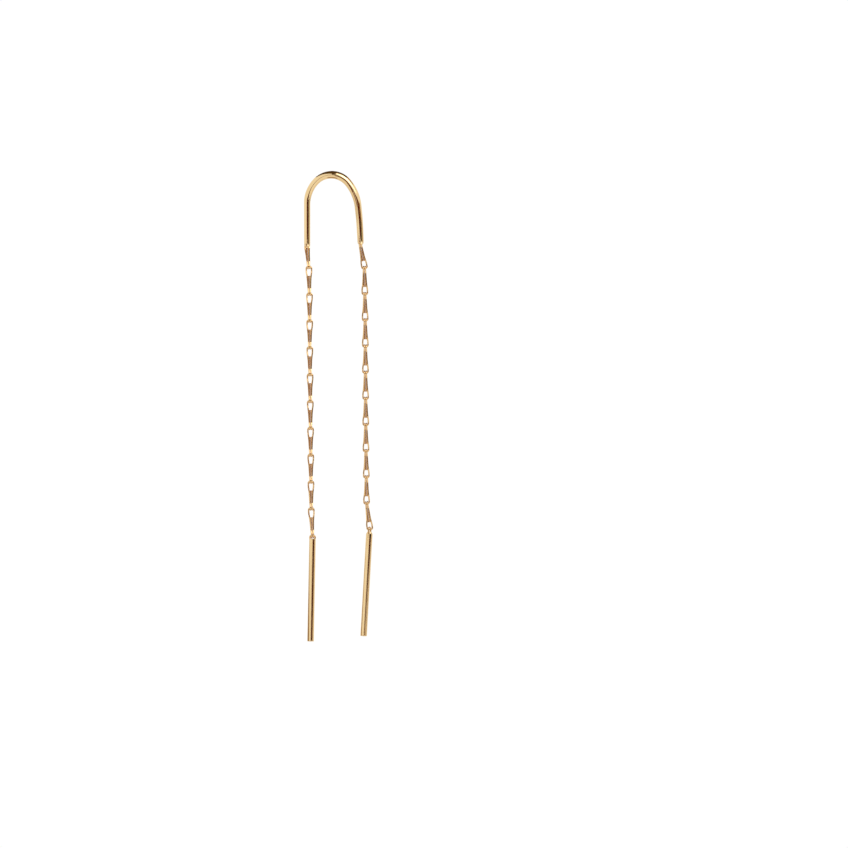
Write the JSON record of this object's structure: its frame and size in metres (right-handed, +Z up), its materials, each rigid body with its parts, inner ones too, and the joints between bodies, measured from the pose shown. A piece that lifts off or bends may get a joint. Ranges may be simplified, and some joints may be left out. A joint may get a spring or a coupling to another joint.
{
  "type": "chain threader earring",
  "caption": "Chain threader earring: a U-shaped rod for the lobe, with a chain of hairpin links and a slim round bar hanging from each end.",
  "frame": {"origin": "inner top of the arch, on the rod's lower side, where the earring rests in the pierced lobe", "axes": "+Z up, the front faces -Y, +X to the right as seen from the front; the earring hangs in the XZ plane"},
  "size_m": [0.0103, 0.0012, 0.0706],
  "materials": {
    "gold": "polished yellow gold"
  },
  "bodies": {
    "arch_and_chains": {"ear_arch": "gold", "left_link_02": "gold", "left_link_03": "gold", "left_link_04": "gold", "left_link_05": "gold", "left_link_06": "gold", "left_link_07": "gold", "left_link_08": "gold", "left_link_09": "gold", "left_link_10": "gold", "left_link_11": "gold", "right_link_02": "gold", "right_link_03": "gold", "right_link_04": "gold", "right_link_05": "gold", "right_link_06": "gold", "right_link_07": "gold", "right_link_08": "gold", "right_link_09": "gold", "right_link_10": "gold", "right_link_11": "gold"},
    "left_bar": {"left_bar": "gold"},
    "right_bar": {"right_bar": "gold"}
  },
  "joints": [
    {"name": "left_bar_swing", "type": "hinge", "parent": "arch_and_chains", "child": "left_bar", "pos_m": [-0.00283, 0, -0.05352], "axis": [1, 0, 0], "range_deg": [-75, 75]},
    {"name": "right_bar_swing", "type": "hinge", "parent": "arch_and_chains", "child": "right_bar", "pos_m": [0.00577, 0, -0.05265], "axis": [1, 0, 0], "range_deg": [-40, 75]}
  ]
}
